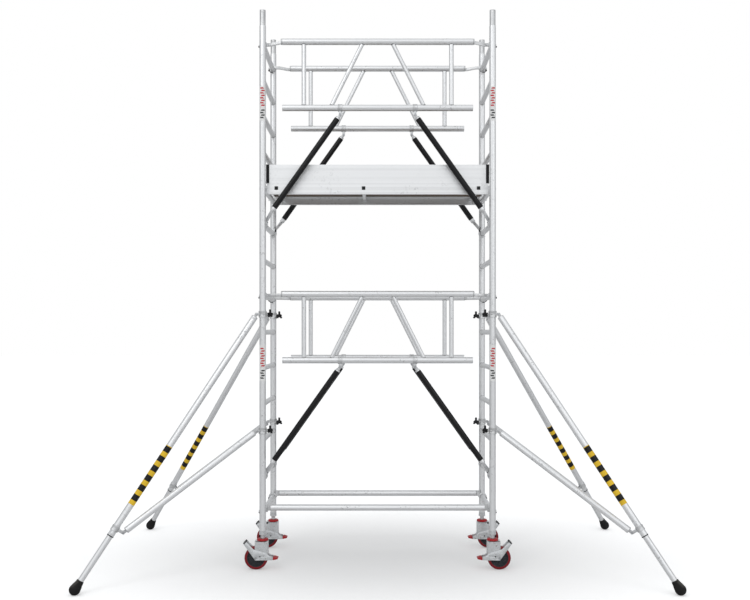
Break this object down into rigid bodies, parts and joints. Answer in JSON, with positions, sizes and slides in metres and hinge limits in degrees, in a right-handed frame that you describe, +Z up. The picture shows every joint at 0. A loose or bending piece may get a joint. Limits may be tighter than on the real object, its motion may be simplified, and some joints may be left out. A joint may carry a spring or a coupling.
{
  "type": "mobile tower scaffold",
  "caption": "Narrow aluminium access tower on swivel casters with ladder frames, guardrails, trapdoor platform, toe boards, diagonal braces and telescopic stabilisers.",
  "frame": {"origin": "on the floor, in the middle between the four posts, which is the bottom centre of the object's box", "axes": "+X along the platform to the right as seen from the front, +Y across it away from the front, +Z up"},
  "size_m": [4.32, 2.1402, 4.34],
  "materials": {
    "tube_aluminium": "ribbed extruded tube, mill finish",
    "beam_aluminium": "extruded, mill finish",
    "board_aluminium": "satin extruded board",
    "cast_aluminium": "cast, slightly rough",
    "zinc_steel": "zinc plated pressed steel",
    "red_tyre": "polyurethane tyre on a dark grey core",
    "black_rubber": "moulded rubber",
    "black_plastic": "moulded nylon",
    "decking": "phenolic faced plywood",
    "red_plastic": "moulded",
    "hazard_yellow": "adhesive tape",
    "white_label": "adhesive film"
  },
  "bodies": {
    "tower": {"lower_left_frame": "tube_aluminium", "lower_right_frame": "tube_aluminium", "upper_left_frame": "tube_aluminium", "upper_right_frame": "tube_aluminium", "frame_spigots": "cast_aluminium", "front_upper_guardrail": "tube_aluminium", "back_upper_guardrail": "tube_aluminium", "front_lower_guardrail": "tube_aluminium", "back_lower_guardrail": "tube_aluminium", "base_braces": "tube_aluminium", "platform_frame": "beam_aluminium", "deck_panels": "decking", "toe_boards": "board_aluminium", "platform_plugs": "black_plastic", "leg_nuts": "zinc_steel"},
    "leg_front_left": {"leg_spindle_front_left": "zinc_steel"},
    "fork_front_left": {"caster_fork_front_left": "zinc_steel"},
    "wheel_front_left": {"caster_wheel_front_left": "red_tyre"},
    "pedal_front_left": {"brake_pedal_front_left": "zinc_steel"},
    "stabiliser_front_left": {"stabiliser_front_left": "tube_aluminium", "stabiliser_couplers_front_left": "cast_aluminium"},
    "foot_front_left": {"stabiliser_foot_front_left": "black_rubber"},
    "upper_knob_front_left": {"upper_knob_front_left": "black_plastic"},
    "lower_knob_front_left": {"lower_knob_front_left": "black_plastic"},
    "upper_brace_front_left": {"upper_brace_front_left": "tube_aluminium"},
    "lower_brace_front_left": {"lower_brace_front_left": "tube_aluminium"},
    "leg_front_right": {"leg_spindle_front_right": "zinc_steel"},
    "fork_front_right": {"caster_fork_front_right": "zinc_steel"},
    "wheel_front_right": {"caster_wheel_front_right": "red_tyre"},
    "pedal_front_right": {"brake_pedal_front_right": "zinc_steel"},
    "stabiliser_front_right": {"stabiliser_front_right": "tube_aluminium", "stabiliser_couplers_front_right": "cast_aluminium"},
    "foot_front_right": {"stabiliser_foot_front_right": "black_rubber"},
    "upper_knob_front_right": {"upper_knob_front_right": "black_plastic"},
    "lower_knob_front_right": {"lower_knob_front_right": "black_plastic"},
    "upper_brace_front_right": {"upper_brace_front_right": "tube_aluminium"},
    "lower_brace_front_right": {"lower_brace_front_right": "tube_aluminium"},
    "leg_back_left": {"leg_spindle_back_left": "zinc_steel"},
    "fork_back_left": {"caster_fork_back_left": "zinc_steel"},
    "wheel_back_left": {"caster_wheel_back_left": "red_tyre"},
    "pedal_back_left": {"brake_pedal_back_left": "zinc_steel"},
    "stabiliser_back_left": {"stabiliser_back_left": "tube_aluminium", "stabiliser_couplers_back_left": "cast_aluminium"},
    "foot_back_left": {"stabiliser_foot_back_left": "black_rubber"},
    "upper_knob_back_left": {"upper_knob_back_left": "black_plastic"},
    "lower_knob_back_left": {"lower_knob_back_left": "black_plastic"},
    "upper_brace_back_left": {"upper_brace_back_left": "tube_aluminium"},
    "lower_brace_back_left": {"lower_brace_back_left": "tube_aluminium"},
    "leg_back_right": {"leg_spindle_back_right": "zinc_steel"},
    "fork_back_right": {"caster_fork_back_right": "zinc_steel"},
    "wheel_back_right": {"caster_wheel_back_right": "red_tyre"},
    "pedal_back_right": {"brake_pedal_back_right": "zinc_steel"},
    "stabiliser_back_right": {"stabiliser_back_right": "tube_aluminium", "stabiliser_couplers_back_right": "cast_aluminium"},
    "foot_back_right": {"stabiliser_foot_back_right": "black_rubber"},
    "upper_knob_back_right": {"upper_knob_back_right": "black_plastic"},
    "lower_knob_back_right": {"lower_knob_back_right": "black_plastic"},
    "upper_brace_back_right": {"upper_brace_back_right": "tube_aluminium"},
    "lower_brace_back_right": {"lower_brace_back_right": "tube_aluminium"},
    "trapdoor": {"trapdoor": "decking"}
  },
  "joints": [
    {"name": "leg_screw_front_left", "type": "slide", "parent": "tower", "child": "leg_front_left", "axis": [0, 0, 1], "range_m": [-0.15, 0]},
    {"name": "caster_swivel_front_left", "type": "hinge", "parent": "leg_front_left", "child": "fork_front_left", "pos_m": [-0.893, -0.35, 0.23], "axis": [0, 0, 1], "continuous": true},
    {"name": "wheel_roll_front_left", "type": "hinge", "parent": "fork_front_left", "child": "wheel_front_left", "pos_m": [-0.943, -0.35, 0.09], "axis": [0, 1, 0], "continuous": true},
    {"name": "brake_rock_front_left", "type": "hinge", "parent": "fork_front_left", "child": "pedal_front_left", "pos_m": [-0.911, -0.35, 0.1035], "axis": [0, -1, 0], "range_deg": [0, 12]},
    {"name": "stabiliser_turn_front_left", "type": "hinge", "parent": "tower", "child": "stabiliser_front_left", "pos_m": [-0.893, -0.35, 1.98], "axis": [0, 0, 1], "range_deg": [-29, 61]},
    {"name": "foot_slide_front_left", "type": "slide", "parent": "stabiliser_front_left", "child": "foot_front_left", "axis": [-0.5, -0.2771, -0.8205], "range_m": [-0.35, 0.25]},
    {"name": "upper_knob_turn_front_left", "type": "hinge", "parent": "stabiliser_front_left", "child": "upper_knob_front_left", "pos_m": [-0.83877, -0.31994, 1.98], "axis": [0.8746, 0.4848, 0], "continuous": true},
    {"name": "lower_knob_turn_front_left", "type": "hinge", "parent": "stabiliser_front_left", "child": "lower_knob_front_left", "pos_m": [-0.83877, -0.31994, 1.075], "axis": [0.8746, 0.4848, 0], "continuous": true},
    {"name": "upper_brace_swing_front_left", "type": "hinge", "parent": "tower", "child": "upper_brace_front_left", "pos_m": [-0.291, -0.35, 3.529], "axis": [0, -1, 0], "range_deg": [0, 45]},
    {"name": "lower_brace_swing_front_left", "type": "hinge", "parent": "tower", "child": "lower_brace_front_left", "pos_m": [-0.291, -0.35, 1.569], "axis": [0, -1, 0], "range_deg": [0, 30]},
    {"name": "leg_screw_front_right", "type": "slide", "parent": "tower", "child": "leg_front_right", "axis": [0, 0, 1], "range_m": [-0.15, 0]},
    {"name": "caster_swivel_front_right", "type": "hinge", "parent": "leg_front_right", "child": "fork_front_right", "pos_m": [0.893, -0.35, 0.23], "axis": [0, 0, 1], "continuous": true},
    {"name": "wheel_roll_front_right", "type": "hinge", "parent": "fork_front_right", "child": "wheel_front_right", "pos_m": [0.943, -0.35, 0.09], "axis": [0, 1, 0], "continuous": true},
    {"name": "brake_rock_front_right", "type": "hinge", "parent": "fork_front_right", "child": "pedal_front_right", "pos_m": [0.911, -0.35, 0.1035], "axis": [0, 1, 0], "range_deg": [0, 12]},
    {"name": "stabiliser_turn_front_right", "type": "hinge", "parent": "tower", "child": "stabiliser_front_right", "pos_m": [0.893, -0.35, 1.98], "axis": [0, 0, -1], "range_deg": [-29, 61]},
    {"name": "foot_slide_front_right", "type": "slide", "parent": "stabiliser_front_right", "child": "foot_front_right", "axis": [0.5, -0.2771, -0.8205], "range_m": [-0.35, 0.25]},
    {"name": "upper_knob_turn_front_right", "type": "hinge", "parent": "stabiliser_front_right", "child": "upper_knob_front_right", "pos_m": [0.83877, -0.31994, 1.98], "axis": [-0.8746, 0.4848, 0], "continuous": true},
    {"name": "lower_knob_turn_front_right", "type": "hinge", "parent": "stabiliser_front_right", "child": "lower_knob_front_right", "pos_m": [0.83877, -0.31994, 1.075], "axis": [-0.8746, 0.4848, 0], "continuous": true},
    {"name": "upper_brace_swing_front_right", "type": "hinge", "parent": "tower", "child": "upper_brace_front_right", "pos_m": [0.291, -0.35, 3.529], "axis": [0, 1, 0], "range_deg": [0, 45]},
    {"name": "lower_brace_swing_front_right", "type": "hinge", "parent": "tower", "child": "lower_brace_front_right", "pos_m": [0.291, -0.35, 1.569], "axis": [0, 1, 0], "range_deg": [0, 30]},
    {"name": "leg_screw_back_left", "type": "slide", "parent": "tower", "child": "leg_back_left", "axis": [0, 0, 1], "range_m": [-0.15, 0]},
    {"name": "caster_swivel_back_left", "type": "hinge", "parent": "leg_back_left", "child": "fork_back_left", "pos_m": [-0.893, 0.35, 0.23], "axis": [0, 0, 1], "continuous": true},
    {"name": "wheel_roll_back_left", "type": "hinge", "parent": "fork_back_left", "child": "wheel_back_left", "pos_m": [-0.943, 0.35, 0.09], "axis": [0, 1, 0], "continuous": true},
    {"name": "brake_rock_back_left", "type": "hinge", "parent": "fork_back_left", "child": "pedal_back_left", "pos_m": [-0.911, 0.35, 0.1035], "axis": [0, -1, 0], "range_deg": [0, 12]},
    {"name": "stabiliser_turn_back_left", "type": "hinge", "parent": "tower", "child": "stabiliser_back_left", "pos_m": [-0.893, 0.35, 1.98], "axis": [0, 0, -1], "range_deg": [-29, 61]},
    {"name": "foot_slide_back_left", "type": "slide", "parent": "stabiliser_back_left", "child": "foot_back_left", "axis": [-0.5, 0.2771, -0.8205], "range_m": [-0.35, 0.25]},
    {"name": "upper_knob_turn_back_left", "type": "hinge", "parent": "stabiliser_back_left", "child": "upper_knob_back_left", "pos_m": [-0.83877, 0.31994, 1.98], "axis": [0.8746, -0.4848, 0], "continuous": true},
    {"name": "lower_knob_turn_back_left", "type": "hinge", "parent": "stabiliser_back_left", "child": "lower_knob_back_left", "pos_m": [-0.83877, 0.31994, 1.075], "axis": [0.8746, -0.4848, 0], "continuous": true},
    {"name": "upper_brace_swing_back_left", "type": "hinge", "parent": "tower", "child": "upper_brace_back_left", "pos_m": [-0.291, 0.35, 3.529], "axis": [0, -1, 0], "range_deg": [0, 45]},
    {"name": "lower_brace_swing_back_left", "type": "hinge", "parent": "tower", "child": "lower_brace_back_left", "pos_m": [-0.291, 0.35, 1.569], "axis": [0, -1, 0], "range_deg": [0, 30]},
    {"name": "leg_screw_back_right", "type": "slide", "parent": "tower", "child": "leg_back_right", "axis": [0, 0, 1], "range_m": [-0.15, 0]},
    {"name": "caster_swivel_back_right", "type": "hinge", "parent": "leg_back_right", "child": "fork_back_right", "pos_m": [0.893, 0.35, 0.23], "axis": [0, 0, 1], "continuous": true},
    {"name": "wheel_roll_back_right", "type": "hinge", "parent": "fork_back_right", "child": "wheel_back_right", "pos_m": [0.943, 0.35, 0.09], "axis": [0, 1, 0], "continuous": true},
    {"name": "brake_rock_back_right", "type": "hinge", "parent": "fork_back_right", "child": "pedal_back_right", "pos_m": [0.911, 0.35, 0.1035], "axis": [0, 1, 0], "range_deg": [0, 12]},
    {"name": "stabiliser_turn_back_right", "type": "hinge", "parent": "tower", "child": "stabiliser_back_right", "pos_m": [0.893, 0.35, 1.98], "axis": [0, 0, 1], "range_deg": [-29, 61]},
    {"name": "foot_slide_back_right", "type": "slide", "parent": "stabiliser_back_right", "child": "foot_back_right", "axis": [0.5, 0.2771, -0.8205], "range_m": [-0.35, 0.25]},
    {"name": "upper_knob_turn_back_right", "type": "hinge", "parent": "stabiliser_back_right", "child": "upper_knob_back_right", "pos_m": [0.83877, 0.31994, 1.98], "axis": [-0.8746, -0.4848, 0], "continuous": true},
    {"name": "lower_knob_turn_back_right", "type": "hinge", "parent": "stabiliser_back_right", "child": "lower_knob_back_right", "pos_m": [0.83877, 0.31994, 1.075], "axis": [-0.8746, -0.4848, 0], "continuous": true},
    {"name": "upper_brace_swing_back_right", "type": "hinge", "parent": "tower", "child": "upper_brace_back_right", "pos_m": [0.291, 0.35, 3.529], "axis": [0, 1, 0], "range_deg": [0, 45]},
    {"name": "lower_brace_swing_back_right", "type": "hinge", "parent": "tower", "child": "lower_brace_back_right", "pos_m": [0.291, 0.35, 1.569], "axis": [0, 1, 0], "range_deg": [0, 30]},
    {"name": "trapdoor_lift", "type": "hinge", "parent": "tower", "child": "trapdoor", "pos_m": [-0.4515, 0.269, 3.0058], "axis": [-1, 0, 0], "range_deg": [0, 90]}
  ]
}
